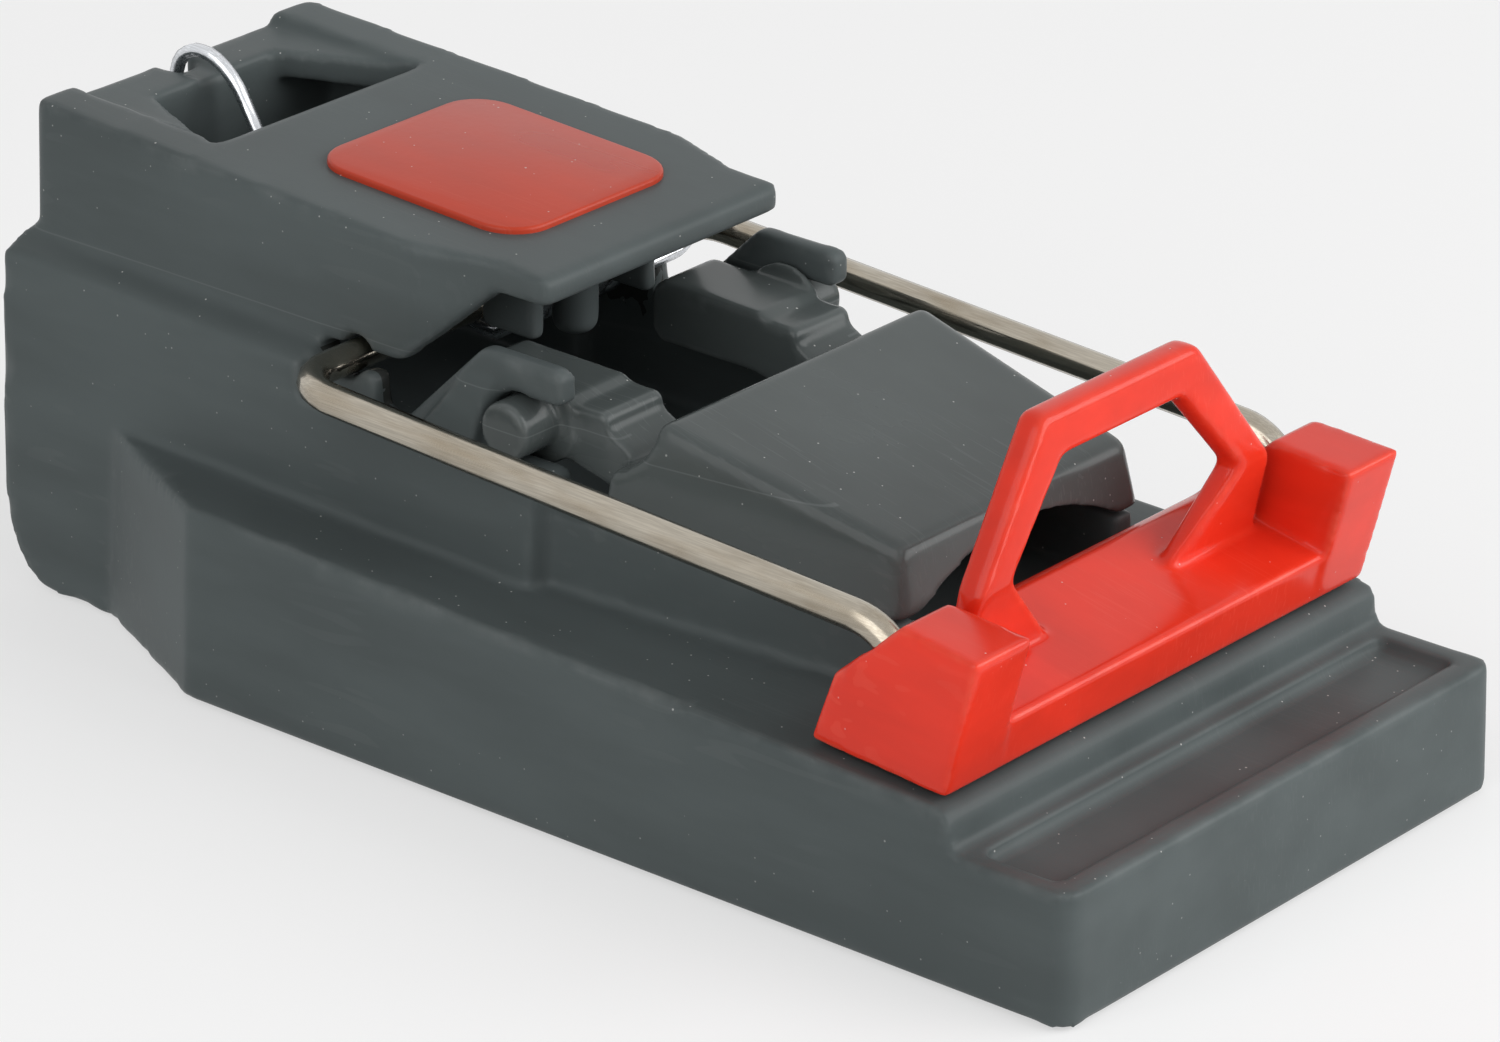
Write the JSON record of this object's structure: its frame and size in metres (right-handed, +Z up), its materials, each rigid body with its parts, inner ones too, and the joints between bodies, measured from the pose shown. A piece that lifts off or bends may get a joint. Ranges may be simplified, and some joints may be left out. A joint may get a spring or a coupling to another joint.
{
  "type": "snap mouse trap",
  "caption": "Snap mouse trap with a plastic base, a sprung wire kill bar with a moulded striker and finger loop, and a covered bait pedal, shown sprung.",
  "frame": {"origin": "centre of the footprint, on the surface that the trap stands on", "axes": "+X across the trap, +Y towards the tower at the rear, +Z up"},
  "size_m": [0.0522, 0.108, 0.0395],
  "materials": {
    "base_plastic": "satin",
    "pedal_plastic": "satin",
    "striker_plastic": "gloss",
    "bar_wire": "bright drawn wire",
    "spring_wire": "bright zinc"
  },
  "bodies": {
    "base": {"base": "base_plastic", "torsion_spring": "spring_wire"},
    "kill_bar": {"kill_bar": "bar_wire", "striker": "striker_plastic"},
    "pedal": {"trip_pedal": "pedal_plastic"}
  },
  "joints": [
    {"name": "kill_bar_hinge", "type": "hinge", "parent": "base", "child": "kill_bar", "pos_m": [0, 0.0203, 0.0267], "axis": [-1, 0, 0], "range_deg": [0, 100], "stiffness_Nm_per_rad": 0.15, "springref_deg": -57.3, "deforming": ["torsion_spring"]},
    {"name": "pedal_hinge", "type": "hinge", "parent": "base", "child": "pedal", "pos_m": [0, 0.0037, 0.02595], "axis": [-1, 0, 0], "range_deg": [0, 8]}
  ]
}
